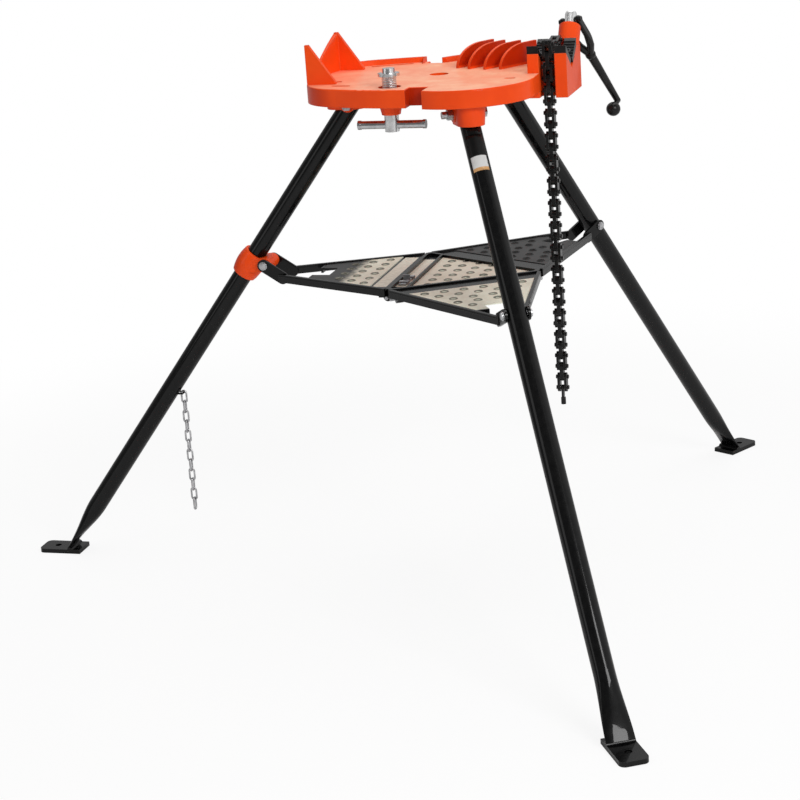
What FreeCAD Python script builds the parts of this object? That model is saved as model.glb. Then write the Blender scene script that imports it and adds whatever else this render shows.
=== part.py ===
import FreeCAD, Part
import math
import os
from FreeCAD import Vector as V

# Folding tripod pipe stand with a chain vise. Millimetres, +Z up, origin on the floor under the
# middle of the three feet, +X towards the vise and -X along the rear leg.

# ---- plate casting -------------------------------------------------------------------------
plate_top = 887.0  # working height
skirt_height = 30.0
skirt_wall = 9.0
web_thickness = 9.0
rear_edge_x = -214.0
front_edge_x = 178.0
rear_flat_half = 58.0
rear_round = (-194.0, 108.0)  # point on the curve from the rear edge to the flank
edge_mid_y = 172.0  # half width beside the middle of the plate
bulge_y = 192.0  # half width over the front leg sockets
top_edge_fillet = 2.5
near_notch = (-14.0, 17.0, 142.0)  # from x, to x, depth line
far_notch = (-58.0, -33.0, 142.0)
rim_height = 9.0
rim_thickness = 6.0
rim_foot = 11.0  # thickness of the rim where it meets the plate
rim_rear_x = -190.0
rim_front_x = 46.0
centre_hole_d = 32.0
small_hole_d = 13.0
small_hole_at = (-160.0, -58.0)

# ---- pipe rest ears ------------------------------------------------------------------------
ear_wall = 8.0
ear_wall_x = -198.0  # front face of the wall at its ends
ear_wall_bow = 10.0
ear_apex_y = 83.0
ear_height = 66.0
ear_vee_height = 27.0  # height of the bottom of the vee over the plate
ear_gusset_length = 42.0
ear_gusset_wall = 8.0

# ---- bender fins ---------------------------------------------------------------------------
fin_angle = 62.0
fin_length = 96.0
fin_height = 37.5
fin_rise = 64.0
fin_wall = 5.0
fin_feet = ((16.0, 62.0), (40.0, 46.0), (70.0, 35.0), (98.0, 31.0))

# ---- vise block ----------------------------------------------------------------------------
block_x0 = 158.0
block_x1 = 224.0
block_far_y = 95.0
block_bottom = plate_top - 41.0
vee_middle_y = 18.0
vee_half_width = 45.5
vee_depth = 31.0
vee_rim_z = plate_top + 32.0
slot_x0 = 177.0
slot_x1 = 204.0
slot_back_y = -5.0
slot_headroom = 60.0
nose_top_z = plate_top + 28.0
nose_back_y = 12.0
jaw_thickness = 10.6
jaw_gap = 0.2
jaw_foot_gap = 6.0
jaw_teeth = 6
jaw_tooth_depth = 1.5
jaw_screw_r = 3.0
jaw_screw_length = 13.0
jaw_screw_head_r = 4.7
jaw_screw_head_height = 3.0
jaw_sink_depth = 4.5
jaw_sink_r = 5.0

# ---- clamp screw tower ---------------------------------------------------------------------
tower_x = 205.5
tower_base = (81.0, plate_top + 25.0)  # y, z of a point on the screw axis
tower_lean = 38.0  # towards the far side, from vertical
tower_length = 42.0
tower_r = 18.5
screw_r = 9.5
screw_clearance = 0.08
screw_head_r = 10.0
screw_head_length = 23.0
screw_head_gap = 0.1
screw_dome = 4.0
fork_pin_height = 12.3
fork_pin_r = 3.0
fork_pin_clearance = 0.08
fork_pin_head_r = 4.5
fork_pin_head = 2.0
nut_depth = 24.0  # from the tower base point down to the middle of the clamp nut
nut_size = (35.0, 28.0, 20.0)
nut_offset_x = -8.0
nut_travel = 3.0

# ---- crank handle --------------------------------------------------------------------------
crank_turn = 16.0  # rest angle of the crank about the screw
crank_droop = 14.0
crank_length = 204.0
crank_hub = 85.0  # where the two prongs meet
crank_half_gap = 10.4
crank_prong = 8.0
crank_prong_r = 6.5
crank_parallel = 40.0  # length of the prongs' straight part
crank_arm_r = 6.2
knob_r = 12.5
knob_stem = 18.0

# ---- brace screw ---------------------------------------------------------------------------
brace_at = (-50.0, -131.0)
brace_r = 12.0
brace_clearance = 0.08
brace_recess_r = 19.0
brace_recess_depth = 12.0
brace_boss_bottom = plate_top - 45.0
brace_boss_r = 19.0
brace_boss_tip_r = 15.5
brace_cap_z = plate_top + 17.5
brace_cap_r = 18.0
brace_cap_height = 5.0
brace_top = brace_cap_z + 13.0
brace_crown_r = 10.0
brace_neck_r = 6.5
brace_foot_z = plate_top - 73.0
tbar_r = 6.8
tbar_length = 116.0
tbar_z = brace_foot_z + 11.0
tbar_clearance = 0.09
tbar_end_r = 7.6
tbar_end_length = 5.0

# ---- legs ----------------------------------------------------------------------------------
leg_azimuth = {"rear": 180.0, "front_right": -60.0, "front_left": 60.0}
leg_tube_r = 16.7
leg_tube_wall = 3.4
leg_foot_radius = 790.0  # where the tube's axis meets the floor
pivot_r = 158.5
pivot_z = plate_top - 45.0
tube_over_pivot = 12.0
pivot_bolt_r = 6.0
pivot_clearance = 0.08
bolt_head_r = 9.5
bolt_head_height = 7.0
socket_bottom_rear = pivot_z - 8.0
socket_bottom_front = pivot_z - 17.0
socket_half_width = 25.0  # over the bolt pads
socket_pad_r = 12.5
socket_wall = 5.4
socket_root_wall = 9.9  # under the plate, where the boss is widest
socket_side_gap = 0.4
socket_rear_reach = 23.0  # room inside the pivot for the top of the tube
socket_front_reach = 37.0
flat_length = 105.0
flat_width = 46.0
flat_thickness = 8.0
pad_length = 60.0
pad_inner = 24.0
pad_corner_r = 10.0
foot_hole_r = 6.0
foot_hole_out = 22.0  # from the tube's axis on the floor out to the hole

# ---- tray ----------------------------------------------------------------------------------
tray_top = 548.0
rail_height = 14.0
rail_width = 6.0
panel_thickness = 2.0
hinge_z = 531.0
hinge_radius = 85.0
hinge_gap = 1.0
corner_cut = 10.0  # tray's inner corners, in from where the hinge lines cross
corner_gap = 7.0
strip_width = 34.0
fork_gap = 0.6
fork_wall = 4.0
fork_length = 34.0
fork_end = 11.0
tray_pin_z = 555.0
web_setback = 92.0
tube_notch = 28.0  # room in the web and panel for the leg as the tray folds
hinge_pin_r = 3.0
hinge_pin_clearance = 0.08
eye_r = 7.5
eye_width = 6.0
eye_gap = 0.5
eye_arm = 16.0
hole_d = 13.0
hole_pitch = 34.0
hole_margin = 10.0
hole_edge = 3.0  # sheet left between a drain hole and the leg's room
rear_pin_z = 563.0
lug_reach = 33.75  # from the rear leg's axis in to the pin
latch_strip = 36.0  # width of the strip that carries the latch
latch_y = -62.0
latch_length = 64.0
latch_width = 12.0
latch_thickness = 3.0
latch_tab_height = 12.0
latch_gap = 0.3
staple_spread = 18.0

# ---- collar on the rear leg ------------------------------------------------------------------
collar_z = 562.0
collar_length = 46.0
collar_end_r = 21.5
collar_mid_r = 25.0
collar_gap = 0.05
lug_r = 12.0
pin_r = 5.0
rivet_head_r = 7.5
rivet_head_height = 4.0

# ---- vise chain ----------------------------------------------------------------------------
chain_pitch = 19.05
chain_x = 190.5
chain_pin_r = 3.5
chain_pin_clearance = 0.08
chain_pin_half = 11.0
chain_plate_inner = 3.5
chain_plate_outer = 8.0
chain_plate_r = 7.4
chain_core_half = 3.2
chain_core_r = 7.2
span_pins = ((59.0, 43.0), (40.5, 38.5), (21.6, 36.0), (2.9, 39.0), (-14.6, 46.6))  # y, height over the plate
hang_counts = (11, 11, 9)

# ---- small chain ---------------------------------------------------------------------------
tie_wire_r = 1.7
tie_link_length = 26.0
tie_link_width = 13.0
tie_links = 12
tie_eye_z = 318.0
tie_eye_offset = 9.0
tie_gap = 0.3


def cylinder(radius, height, base, direction=V(0, 0, 1)):
    return Part.makeCylinder(radius, height, base, direction)


def block(x0, x1, y0, y1, z0, z1):
    return Part.makeBox(x1 - x0, y1 - y0, z1 - z0, V(x0, y0, z0))


def polygon_face(points):
    return Part.Face(Part.makePolygon(points + [points[0]]))


def prism_z(points, z0, z1):
    return polygon_face([V(x, y, z0) for x, y in points]).extrude(V(0, 0, z1 - z0))


def prism_x(points, x0, x1):
    return polygon_face([V(x0, y, z) for y, z in points]).extrude(V(x1 - x0, 0, 0))


def prism_y(points, y0, y1):
    return polygon_face([V(x, y0, z) for x, z in points]).extrude(V(0, y1 - y0, 0))


def stadium_wire(a, b, radius, normal):
    """Round-ended outline about two points, square to the normal."""
    along = (b - a).normalize()
    side = along.cross(normal).normalize() * radius
    return Part.Wire([
        Part.LineSegment(a + side, b + side).toShape(),
        Part.Arc(b + side, b + along * radius, b - side).toShape(),
        Part.LineSegment(b - side, a - side).toShape(),
        Part.Arc(a - side, a - along * radius, a + side).toShape(),
    ])


def stadium(a, b, radius, depth):
    """Round-ended bar between two points, extruded along a vector square to it."""
    return Part.Face(stadium_wire(a, b, radius, depth)).extrude(depth)


def hexagon_points(radius, cx, cy):
    angles = [math.radians(60 * i) for i in range(6)]
    return [(cx + radius * math.cos(a), cy + radius * math.sin(a)) for a in angles]


def hexagon_z(radius, height, base):
    return prism_z(hexagon_points(radius, base.x, base.y), base.z, base.z + height)


def hexagon_y(radius, height, base):
    return prism_y(hexagon_points(radius, base.x, base.z), base.y, base.y + height)


def joined(shapes):
    result = shapes[0]
    if len(shapes) > 1:
        result = result.fuse(shapes[1:])
    return result.removeSplitter()


def turned(shape, degrees, centre=V(0, 0, 0), axis=V(0, 0, 1)):
    copy = shape.copy()
    copy.rotate(centre, axis, degrees)
    return copy


def mirrored_y(shape):
    return shape.mirror(V(0, 0, 0), V(0, 1, 0))


def save(name, shape):
    shape.exportStep("parts/" + name + ".step")


# ---- derived sizes -------------------------------------------------------------------------
skirt_bottom = plate_top - skirt_height
web_bottom = plate_top - web_thickness
leg_slope = (leg_foot_radius - pivot_r) / pivot_z  # radius gained for each unit of height lost
leg_cos = 1 / math.hypot(1, leg_slope)
leg_sin = leg_slope * leg_cos
vee_slope = math.atan(vee_depth / vee_half_width)
vee_bottom = vee_rim_z - vee_depth
block_near_y = vee_middle_y - vee_half_width
jaw_length = math.hypot(vee_half_width, vee_depth)
jaw_foot = jaw_thickness * math.tan(vee_slope) + jaw_foot_gap
jaw_middle = (jaw_length + jaw_foot) / 2
jaw_head_seat = jaw_thickness - jaw_sink_depth + jaw_gap
tray_half = (2 * hinge_radius - corner_cut) * math.sin(math.radians(60)) - corner_gap
tray_bottom = tray_top - rail_height
tray_reach = 4 * hinge_radius  # beyond every corner of the tray
span_path = [(y, plate_top + height) for y, height in span_pins]


def leg_radius(z):
    return leg_foot_radius - leg_slope * z


foot_hole_radius = leg_foot_radius + foot_hole_out
front_pin_r = leg_radius(tray_pin_z)
rear_pin_x = leg_radius(rear_pin_z) - lug_reach


def rear_hinge_radius():
    """Radius of the rear hinge line at which the folded tray closes on the rear leg.

    The front arms set how far the tray's middle rises when the legs stand upright.
    """
    fold = math.atan(leg_slope)
    arm = math.hypot(front_pin_r - hinge_radius, tray_pin_z - hinge_z)
    reach = math.hypot(front_pin_r - pivot_r, pivot_z - tray_pin_z)
    rise_end = pivot_z - reach + math.sqrt(arm ** 2 - (pivot_r - hinge_radius) ** 2)
    rear_reach = math.hypot(rear_pin_x - pivot_r, pivot_z - rear_pin_z)
    rear_angle = math.atan2(rear_pin_x - pivot_r, pivot_z - rear_pin_z) - fold
    folded_r = pivot_r + rear_reach * math.sin(rear_angle)
    folded_z = pivot_z - rear_reach * math.cos(rear_angle)
    spread = rear_pin_x ** 2 - folded_r ** 2
    spread += (rear_pin_z - hinge_z) ** 2 - (rise_end - folded_z) ** 2
    return spread / (2 * (rear_pin_x - folded_r))


rear_hinge_r = rear_hinge_radius()
rear_inner_line = rear_hinge_r - latch_strip


# ---- plate casting -------------------------------------------------------------------------
def height_on_arc(p, q, r, x):
    """Height at x on the circle through three points, on their side of its centre."""
    circle = Part.Arc(V(p[0], p[1], 0), V(q[0], q[1], 0), V(r[0], r[1], 0)).toShape().Curve
    return circle.Center.y + math.sqrt(circle.Radius ** 2 - (x - circle.Center.x) ** 2)


def plate_edges(side, notch):
    """Outline of one half of the plate from the rear edge to the front, side is -1 or 1."""
    def at(x, y):
        return V(x, side * y, skirt_bottom)

    flank = ((-140.0, edge_mid_y - 29.0), (-77.0, edge_mid_y - 11.0), (-14.0, edge_mid_y - 2.0))
    bulge = ((17.0, bulge_y - 8.0), (78.0, bulge_y), (128.0, bulge_y - 22.0))

    def on_flank(x):
        return at(x, height_on_arc(*flank, x))

    def on_bulge(x):
        return at(x, height_on_arc(*bulge, x))

    rear = at(rear_edge_x, rear_flat_half)
    shoulder = at(*flank[0])
    before = on_flank(notch[0])
    after = on_bulge(notch[1])
    lobe = at(*bulge[2])
    front = at(front_edge_x, rear_flat_half)
    return [
        Part.Arc(rear, at(*rear_round), shoulder).toShape(),
        Part.Arc(shoulder, on_flank((notch[0] - 140.0) / 2), before).toShape(),
        Part.LineSegment(before, at(notch[0], notch[2])).toShape(),
        Part.LineSegment(at(notch[0], notch[2]), at(notch[1], notch[2])).toShape(),
        Part.LineSegment(at(notch[1], notch[2]), after).toShape(),
        Part.Arc(after, on_bulge(notch[1] / 2 + 64.0), lobe).toShape(),
        Part.Arc(lobe, at(168.0, 120.0), front).toShape(),
    ]


def plate_face():
    near = plate_edges(-1, near_notch)
    far = plate_edges(1, far_notch)
    rear = Part.LineSegment(
        V(rear_edge_x, rear_flat_half, skirt_bottom), V(rear_edge_x, -rear_flat_half, skirt_bottom)
    ).toShape()
    front = Part.LineSegment(
        V(front_edge_x, -rear_flat_half, skirt_bottom), V(front_edge_x, rear_flat_half, skirt_bottom)
    ).toShape()
    edges = Part.__sortEdges__(near + far + [rear, front])
    return Part.Face(Part.Wire(edges))


def plate_shell():
    outline = plate_face()
    body = outline.extrude(V(0, 0, skirt_height))
    top_edges = [e for e in body.Edges if e.BoundBox.ZMin > plate_top - 0.01]
    body = body.makeFillet(top_edge_fillet, top_edges)
    inside = outline.makeOffset2D(-skirt_wall)
    hollow = inside.extrude(V(0, 0, skirt_height - web_thickness))
    return body.cut(hollow)


def far_rim():
    """Raised edge along the far side, sloping inside and broken by the far notch."""
    outline = plate_face()
    low = plate_top - top_edge_fillet
    high = plate_top + rim_height
    foot = outline.makeOffset2D(-rim_foot).OuterWire
    lip = outline.makeOffset2D(-rim_thickness).OuterWire
    foot.translate(V(0, 0, low - skirt_bottom))
    lip.translate(V(0, 0, high - skirt_bottom))
    outline.translate(V(0, 0, low - skirt_bottom))
    wall = outline.extrude(V(0, 0, high - low)).cut(Part.makeLoft([foot, lip], True))
    notch_from, notch_to, notch_y = far_notch
    y1 = bulge_y + rim_foot
    left = block(rim_rear_x, notch_from - rim_thickness, edge_mid_y / 2, y1, low, high)
    right = block(notch_to, rim_front_x, notch_y, y1, low, high)
    return wall.common(left.fuse(right))


def ears():
    x0 = ear_wall_x
    y = ear_apex_y
    z0 = web_bottom
    z1 = plate_top + ear_height
    bow = ear_wall_bow
    wall = Part.Wire([
        Part.Arc(V(x0, -y, z0), V(x0 - bow, 0, z0), V(x0, y, z0)).toShape(),
        Part.LineSegment(V(x0, y, z0), V(x0 - ear_wall, y, z0)).toShape(),
        Part.Arc(V(x0 - ear_wall, y, z0), V(x0 - ear_wall - bow + 4.0, 0, z0),
                 V(x0 - ear_wall, -y, z0)).toShape(),
        Part.LineSegment(V(x0 - ear_wall, -y, z0), V(x0, -y, z0)).toShape(),
    ])
    screen = Part.Face(wall).extrude(V(0, 0, z1 - z0))
    vee_z = plate_top + ear_vee_height
    vee = prism_x([(0, vee_z), (y, z1), (y, z1 + 20), (-y, z1 + 20), (-y, z1)],
                  rear_edge_x - 20, x0 + 20)
    screen = screen.cut(vee)
    gusset = prism_y([(x0 - ear_wall, z0), (x0 + ear_gusset_length, z0),
                      (x0 + ear_gusset_length, plate_top + 3.0), (x0 - 2.0, z1),
                      (x0 - ear_wall, z1)], y - ear_gusset_wall / 2, y + ear_gusset_wall / 2)
    return [screen, gusset, mirrored_y(gusset)]


def fin(foot):
    """Upright rib whose leading end climbs as a quarter ellipse to a level top."""
    z0 = web_bottom
    samples = 7
    curve = []
    for i in range(samples):
        a = math.pi / 2 * i / (samples - 1)
        curve.append(V(fin_rise * (1 - math.cos(a)), 0, plate_top + fin_height * math.sin(a)))
    spline = Part.BSplineCurve()
    spline.interpolate(curve)
    top = curve[-1]
    end = V(fin_length, 0, top.z)
    profile = Part.Wire([
        Part.LineSegment(V(0, 0, z0), curve[0]).toShape(),
        spline.toShape(),
        Part.LineSegment(top, end).toShape(),
        Part.LineSegment(end, V(fin_length, 0, z0)).toShape(),
        Part.LineSegment(V(fin_length, 0, z0), V(0, 0, z0)).toShape(),
    ])
    solid = Part.Face(profile).extrude(V(0, fin_wall, 0))
    solid.translate(V(0, -fin_wall / 2, 0))
    solid = turned(solid, fin_angle)
    solid.translate(V(foot[0], foot[1], 0))
    return solid


def screw_frame(shape, turn=0.0):
    """Move a shape from the clamp screw's own frame (z along the screw) to its place."""
    placed = turned(shape, -turn)
    placed = turned(placed, -tower_lean, axis=V(1, 0, 0))
    placed.translate(V(tower_x, tower_base[0], tower_base[1]))
    return placed


def vise_block():
    """Block with the jaw seats, before the slots and bores are cut."""
    outline = [
        (block_near_y, block_bottom), (block_near_y, vee_rim_z), (vee_middle_y, vee_bottom),
        (vee_middle_y + vee_half_width, vee_rim_z), (block_far_y, vee_rim_z), (block_far_y, block_bottom),
    ]
    return prism_x(outline, block_x0, block_x1)


def vise_cuts():
    above = plate_top + slot_headroom
    slot = block(slot_x0, slot_x1, block_near_y - 5.0, slot_back_y, block_bottom - 5.0, above)
    channel = block(slot_x0, slot_x1, nose_back_y, block_far_y - 33.0, vee_bottom, above)
    nose = block(slot_x0, slot_x1, slot_back_y - 1.0, nose_back_y + 1.0, nose_top_z, above)
    nx, ny, nz = nut_size
    room = 0.3
    low = -nut_depth - nz / 2 - nut_travel
    high = -nut_depth + nz / 2 + nut_travel
    side = ny / 2 + room
    cavity = block(nut_offset_x - nx / 2 - room, nut_offset_x + nx / 2 + room, -side, side, low, high)
    mouth = block(slot_x0 - tower_x, slot_x1 - tower_x, -ny / 2 - 16.0, side, low, 9.0)
    bore = cylinder(screw_r + screw_clearance, 160.0, V(0, 0, -80.0))
    return [slot, channel, nose, screw_frame(cavity), screw_frame(mouth), screw_frame(bore)]


def tower():
    barrel = cylinder(tower_r, tower_length + 50.0, V(0, 0, -50.0))
    return screw_frame(barrel)


def leg_socket(bottom):
    """Tapered boss, bolt pads and pocket of one leg in the leg's own frame, radial along +X."""
    half = leg_tube_r + socket_side_gap
    inner = pivot_r - socket_rear_reach + half
    outer = pivot_r + socket_front_reach - half
    up = V(0, 0, 1)
    rims = [stadium_wire(V(inner, 0, z), V(outer, 0, z), half + wall, up)
            for z, wall in ((bottom, socket_wall), (web_bottom, socket_root_wall))]
    w = socket_half_width
    pads = cylinder(socket_pad_r, 2 * w, V(pivot_r, -w, pivot_z), V(0, 1, 0))
    boss = Part.makeLoft(rims, True).fuse(pads)
    low = min(bottom, pivot_z - socket_pad_r) - 1.0
    pocket = stadium(V(inner, 0, low), V(outer, 0, low), half, up * (web_bottom - low))
    hole = cylinder(pivot_bolt_r + pivot_clearance, 4 * w, V(pivot_r, -2 * w, pivot_z), V(0, 1, 0))
    return boss, pocket.fuse(hole)


def tool_slot(x, y, angle, length, width):
    z0 = web_bottom - 1.0
    height = web_thickness + 2.0
    half = (length - width) / 2
    bar = block(-half, half, -width / 2, width / 2, z0, z0 + height)
    ends = [cylinder(width / 2, height, V(s * half, 0, z0)) for s in (-1, 1)]
    slot = turned(joined([bar] + ends), angle)
    slot.translate(V(x, y, 0))
    return slot


def base_casting():
    solids = [plate_shell(), far_rim()] + ears() + [fin(foot) for foot in fin_feet]
    solids += [vise_block(), tower()]
    cuts = vise_cuts()
    for leg, azimuth in leg_azimuth.items():
        boss, pocket = leg_socket(socket_bottom_rear if leg == "rear" else socket_bottom_front)
        solids.append(turned(boss, azimuth))
        cuts.append(turned(pocket, azimuth))
    bx, by = brace_at
    boss_r = brace_recess_r + 4.0
    solids.append(cylinder(boss_r, web_bottom - skirt_bottom, V(bx, by, skirt_bottom)))
    solids.append(Part.makeCone(brace_boss_tip_r, brace_boss_r, skirt_bottom - brace_boss_bottom,
                                V(bx, by, brace_boss_bottom)))
    cuts.append(cylinder(brace_r + brace_clearance, 90.0, V(bx, by, brace_boss_bottom - 10.0)))
    cuts.append(cylinder(brace_recess_r, brace_recess_depth + 1.0,
                         V(bx, by, plate_top - brace_recess_depth)))
    cuts.append(cylinder(centre_hole_d / 2, 2 * skirt_height, V(0, 0, skirt_bottom)))
    hx, hy = small_hole_at
    cuts.append(cylinder(small_hole_d / 2, 2 * web_thickness, V(hx, hy, web_bottom - 1.0)))
    cuts.append(tool_slot(-141.0, -107.0, -8.0, 34.0, 9.0))
    cuts.append(tool_slot(-118.0, 128.0, 20.0, 76.0, 9.0))
    cuts.append(tool_slot(138.0, -72.0, 0.0, 19.0, 9.0))
    for sx in (block_x0, slot_x1):
        cuts.append(jaw_screw_hole(sx))
    cast = solids[0].fuse(solids[1:]).cut(cuts)
    return cast.removeSplitter()


# ---- jaws ----------------------------------------------------------------------------------
def jaw_width(x0):
    return (slot_x0 if x0 == block_x0 else block_x1) - x0


def jaw_frame(shape, side):
    """From a frame with x along the slope up from the bottom of the vee and z off the seat."""
    placed = shape.copy()
    if side > 0:
        placed.rotate(V(0, 0, 0), V(0, 0, 1), 90)
        placed.rotate(V(0, 0, 0), V(1, 0, 0), math.degrees(vee_slope))
    else:
        placed.rotate(V(0, 0, 0), V(0, 0, 1), -90)
        placed.rotate(V(0, 0, 0), V(1, 0, 0), -math.degrees(vee_slope))
    placed.translate(V(0, vee_middle_y, vee_bottom))
    return placed


def jaw(x0, side):
    """Toothed insert on one slope of the vee, one side of the chain slot."""
    width = jaw_width(x0)
    pitch = (jaw_length - jaw_foot) / jaw_teeth
    lean = jaw_thickness * math.tan(vee_slope)
    points = [(jaw_foot, jaw_gap), (jaw_length, jaw_gap), (jaw_length + lean, jaw_thickness),
              (jaw_length, jaw_thickness)]
    for i in range(jaw_teeth):
        x = jaw_length - i * pitch
        points.append((x - pitch / 2, jaw_thickness - jaw_tooth_depth))
        if i < jaw_teeth - 1:
            points.append((x - pitch, jaw_thickness))
    points.append((jaw_foot, jaw_thickness))
    insert = prism_y(points, -width / 2 + jaw_gap, width / 2 - jaw_gap)
    hole = cylinder(jaw_screw_r + jaw_gap, 4 * jaw_thickness, V(jaw_middle, 0, -jaw_thickness))
    sink = cylinder(jaw_sink_r, jaw_thickness, V(jaw_middle, 0, jaw_thickness - jaw_sink_depth))
    placed = jaw_frame(insert.cut(hole).cut(sink), side)
    placed.translate(V(x0 + width / 2, 0, 0))
    return placed


def jaw_screw(x0, side):
    shank = cylinder(jaw_screw_r, jaw_screw_length, V(jaw_middle, 0, jaw_head_seat - jaw_screw_length))
    head = cylinder(jaw_screw_head_r, jaw_screw_head_height, V(jaw_middle, 0, jaw_head_seat))
    drive = hexagon_z(jaw_screw_r * 0.6, jaw_screw_head_height, V(jaw_middle, 0, jaw_head_seat + 1.2))
    placed = jaw_frame(shank.fuse(head).cut(drive), side)
    placed.translate(V(x0 + jaw_width(x0) / 2, 0, 0))
    return placed


def jaw_screw_hole(x0):
    """Both holes on one side of the chain slot, a close fit on the screws."""
    depth = jaw_screw_length - jaw_head_seat + 1.0
    holes = []
    for side in (-1, 1):
        hole = jaw_frame(cylinder(jaw_screw_r + 0.02, depth + 1.0, V(jaw_middle, 0, -depth)), side)
        hole.translate(V(x0 + jaw_width(x0) / 2, 0, 0))
        holes.append(hole)
    return holes[0].fuse(holes[1])


# ---- clamp screw and crank -----------------------------------------------------------------
pin_z = tower_length + fork_pin_height


def vise_screw():
    low = -nut_depth - nut_size[2] / 2 - 1.5
    rod = cylinder(screw_r, tower_length + screw_head_length - low, V(0, 0, low))
    head = cylinder(screw_head_r, screw_head_length - screw_head_gap, V(0, 0, tower_length + screw_head_gap))
    dome = Part.makeSphere(screw_head_r, V(0, 0, tower_length + screw_head_length))
    cap = block(-20, 20, -20, 20, tower_length + screw_head_length,
                tower_length + screw_head_length + screw_dome)
    body = joined([rod, head, dome.common(cap)])
    hole = cylinder(fork_pin_r + fork_pin_clearance, 40.0, V(-20.0, 0, pin_z), V(1, 0, 0))
    return screw_frame(body.cut(hole), crank_turn)


def clamp_nut():
    nx, ny, nz = nut_size
    body = block(nut_offset_x - nx / 2, nut_offset_x + nx / 2, -ny / 2, ny / 2,
                 -nut_depth - nz / 2, -nut_depth + nz / 2)
    bore = cylinder(screw_r + screw_clearance, 2 * nz, V(0, 0, -nut_depth - nz))
    placed = screw_frame(body.cut(bore))
    y, z = span_path[0]
    x0 = chain_x - chain_core_half
    x1 = chain_x + chain_core_half
    eye = cylinder(chain_core_r, x1 - x0, V(x0, y, z), V(1, 0, 0))
    web = prism_x([(y - 5.0, z - 3.0), (y + 4.0, z + 1.0), (y + 12.0, z - 26.0), (y + 2.0, z - 32.0)], x0, x1)
    hole = cylinder(chain_pin_r + chain_pin_clearance, 30.0, V(chain_x - 15.0, y, z), V(1, 0, 0))
    return placed.fuse([eye, web]).cut(hole).cut(screw_frame(bore)).removeSplitter()


def crank_frame(shape):
    """From the crank's frame: x across the fork, y along the arm, z up the screw."""
    placed = shape.copy()
    placed.rotate(V(0, 0, 0), V(1, 0, 0), -crank_droop)
    placed.translate(V(0, 0, pin_z))
    return screw_frame(placed, crank_turn)


def crank_prong_path(side):
    x = side * (crank_half_gap + crank_prong / 2)
    shoulder_y = (crank_parallel + crank_hub) / 2
    return [V(x, 0, 0), V(x, crank_parallel, 0), V(0.7 * x, shoulder_y, 0), V(0, crank_hub, 0)]


def capsule_path(points, radius):
    solids = [Part.makeSphere(radius, points[0])]
    for a, b in zip(points[:-1], points[1:]):
        solids.append(cylinder(radius, (b - a).Length, a, b - a))
        solids.append(Part.makeSphere(radius, b))
    return joined(solids)


def crank_handle():
    r = crank_prong_r
    prongs = joined([capsule_path(crank_prong_path(side), r) for side in (-1, 1)])
    wide = crank_half_gap + crank_prong
    prongs = prongs.common(block(-wide, wide, -2 * r, crank_hub + 2 * r, -r, r))
    prongs = prongs.cut(block(-crank_half_gap, crank_half_gap, -2 * r, crank_parallel, -2 * r, 2 * r))
    hub = Part.makeSphere(crank_arm_r + 3.0, V(0, crank_hub, 0))
    elbow = V(0, crank_length, 0)
    arm = Part.makeCone(crank_arm_r + 1.6, crank_arm_r - 0.6, crank_length - crank_hub,
                        V(0, crank_hub, 0), V(0, 1, 0))
    corner = Part.makeSphere(crank_arm_r - 0.6, elbow)
    stem = cylinder(crank_arm_r - 1.4, knob_stem, elbow, V(0, -0.25, -1))
    hole = cylinder(fork_pin_r + fork_pin_clearance, 60.0, V(-30.0, 0, 0), V(1, 0, 0))
    body = joined([prongs, hub, arm, corner, stem]).cut(hole)
    return crank_frame(body)


def crank_knob():
    direction = V(0, -0.25, -1).normalize()
    centre = V(0, crank_length, 0) + direction * (knob_stem + knob_r - 3.0)
    ball = Part.makeSphere(knob_r, centre)
    bore = cylinder(crank_arm_r - 1.4, knob_stem, V(0, crank_length, 0), V(0, -0.25, -1))
    return crank_frame(ball.cut(bore))


def fork_pin():
    half = crank_half_gap + crank_prong + 2 * fork_pin_clearance
    across = V(1, 0, 0)
    shank = cylinder(fork_pin_r, 2 * half, V(-half, 0, 0), across)
    heads = [cylinder(fork_pin_head_r, fork_pin_head, V(x, 0, 0), across)
             for x in (half, -half - fork_pin_head)]
    return crank_frame(joined([shank] + heads))


# ---- brace screw ---------------------------------------------------------------------------
def brace_screw():
    bx, by = brace_at
    rod = cylinder(brace_r, brace_cap_z - brace_foot_z, V(bx, by, brace_foot_z))
    neck = cylinder(brace_neck_r, brace_top - brace_cap_z - 4.0, V(bx, by, brace_cap_z))
    hole = cylinder(tbar_r + tbar_clearance, 60.0, V(bx - 30.0, by, tbar_z), V(1, 0, 0))
    return joined([rod, neck]).cut(hole)


def brace_cap():
    """Swivelling washer and crown on the screw, notched to bite on a ceiling or a joist."""
    bx, by = brace_at
    gap = 0.3
    brim = cylinder(brace_cap_r, brace_cap_height, V(bx, by, brace_cap_z + gap))
    crown_height = brace_top - brace_cap_z - gap
    crown = Part.makeCone(brace_crown_r + 1.5, brace_crown_r, crown_height, V(bx, by, brace_cap_z + gap))
    bore = cylinder(brace_neck_r + brace_clearance, crown_height - 3.6, V(bx, by, brace_cap_z + gap))
    cap = joined([brim, crown]).cut(bore)
    notches = []
    for i in range(6):
        notch = block(brace_cap_r - 4.5, brace_cap_r + 2.0, -3.0, 3.0, brace_cap_z - 1.0,
                      brace_cap_z + brace_cap_height + 2.0)
        notch = turned(notch, 60.0 * i + 20.0)
        notch.translate(V(bx, by, 0))
        notches.append(notch)
    return cap.cut(notches)


def brace_tbar():
    bx, by = brace_at
    half = tbar_length / 2
    rod = cylinder(tbar_r, tbar_length, V(bx - half, by, tbar_z), V(1, 0, 0))
    ends = [cylinder(tbar_end_r, tbar_end_length, V(x, by, tbar_z), V(1, 0, 0))
            for x in (bx - half, bx + half - tbar_end_length)]
    return joined([rod] + ends)


# ---- legs ----------------------------------------------------------------------------------
def leg_axis_point(z):
    return V(leg_radius(z), 0, z)


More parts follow.
